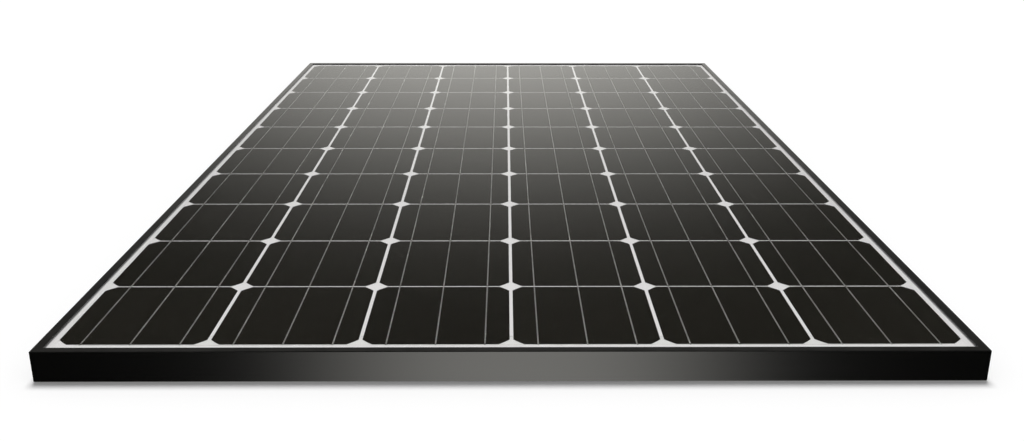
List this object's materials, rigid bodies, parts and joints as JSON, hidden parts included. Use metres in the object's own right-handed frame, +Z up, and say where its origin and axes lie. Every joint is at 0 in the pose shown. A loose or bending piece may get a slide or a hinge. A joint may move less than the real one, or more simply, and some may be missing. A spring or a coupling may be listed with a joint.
{
  "type": "solar panel",
  "caption": "Flat framed photovoltaic panel: square silicon cells behind glass in a mitred metal frame, with a hinged-lid junction box underneath.",
  "frame": {"origin": "on the ground, under the middle of the panel as it lies on its frame", "axes": "+X across the panel to the right, +Y along the panel towards the junction box end, +Z up through the glass"},
  "size_m": [0.99, 1.626, 0.035],
  "materials": {
    "black_anodised": "black anodised, satin",
    "plain_aluminium": "plain extruded",
    "edge_rubber": "matt black",
    "solar_glass": "clear toughened, smooth",
    "clear_encapsulant": "clear",
    "white_encapsulant": "white",
    "silicon": "dark textured silicon with fine silver lines",
    "tinned_metal": "tinned, satin",
    "white_strip": "matt white",
    "white_sheet": "matt white",
    "white_silicone": "off-white silicone",
    "black_plastic": "finely textured black",
    "black_rubber": "matt black",
    "spring_steel": "bright",
    "diode_plastic": "moulded black, tinned leads"
  },
  "bodies": {
    "panel": {"frame_rail_front": "black_anodised", "frame_rail_right": "black_anodised", "frame_rail_rear": "black_anodised", "frame_rail_left": "black_anodised", "corner_key_front_left": "plain_aluminium", "corner_key_front_right": "plain_aluminium", "corner_key_rear_right": "plain_aluminium", "corner_key_rear_left": "plain_aluminium", "edge_seal": "edge_rubber", "front_glass": "solar_glass", "front_encapsulant": "clear_encapsulant", "cell_string_1": "silicon", "cell_string_2": "silicon", "cell_string_3": "silicon", "cell_string_4": "silicon", "cell_string_5": "silicon", "cell_string_6": "silicon", "bus_ribbon_front_1": "tinned_metal", "bus_ribbon_front_2": "tinned_metal", "bus_ribbon_front_3": "tinned_metal", "bus_ribbon_rear_1": "tinned_metal", "bus_ribbon_rear_2": "tinned_metal", "bus_ribbon_rear_3": "tinned_metal", "bus_ribbon_rear_4": "tinned_metal", "insulation_strip_front": "white_strip", "insulation_strip_rear": "white_strip", "rear_encapsulant": "white_encapsulant", "backsheet": "white_sheet", "junction_box_adhesive": "white_silicone", "junction_box_base": "black_plastic", "terminal_1": "tinned_metal", "terminal_2": "tinned_metal", "terminal_3": "tinned_metal", "terminal_4": "tinned_metal", "ribbon_clip_1": "spring_steel", "ribbon_clip_2": "spring_steel", "ribbon_clip_3": "spring_steel", "ribbon_clip_4": "spring_steel", "bypass_diode_1": "diode_plastic", "bypass_diode_2": "diode_plastic", "bypass_diode_3": "diode_plastic", "cable_gland_nut_left": "black_plastic", "cable_gland_nut_right": "black_plastic", "cable_gland_seal_left": "black_rubber", "cable_gland_seal_right": "black_rubber"},
    "junction_box_lid": {"junction_box_lid": "black_plastic", "junction_box_lid_seal": "black_rubber"}
  },
  "joints": [
    {"name": "junction_box_lid_hinge", "type": "hinge", "parent": "panel", "child": "junction_box_lid", "pos_m": [0, 0.761, 0.0075], "axis": [1, 0, 0], "range_deg": [0, 110]}
  ]
}
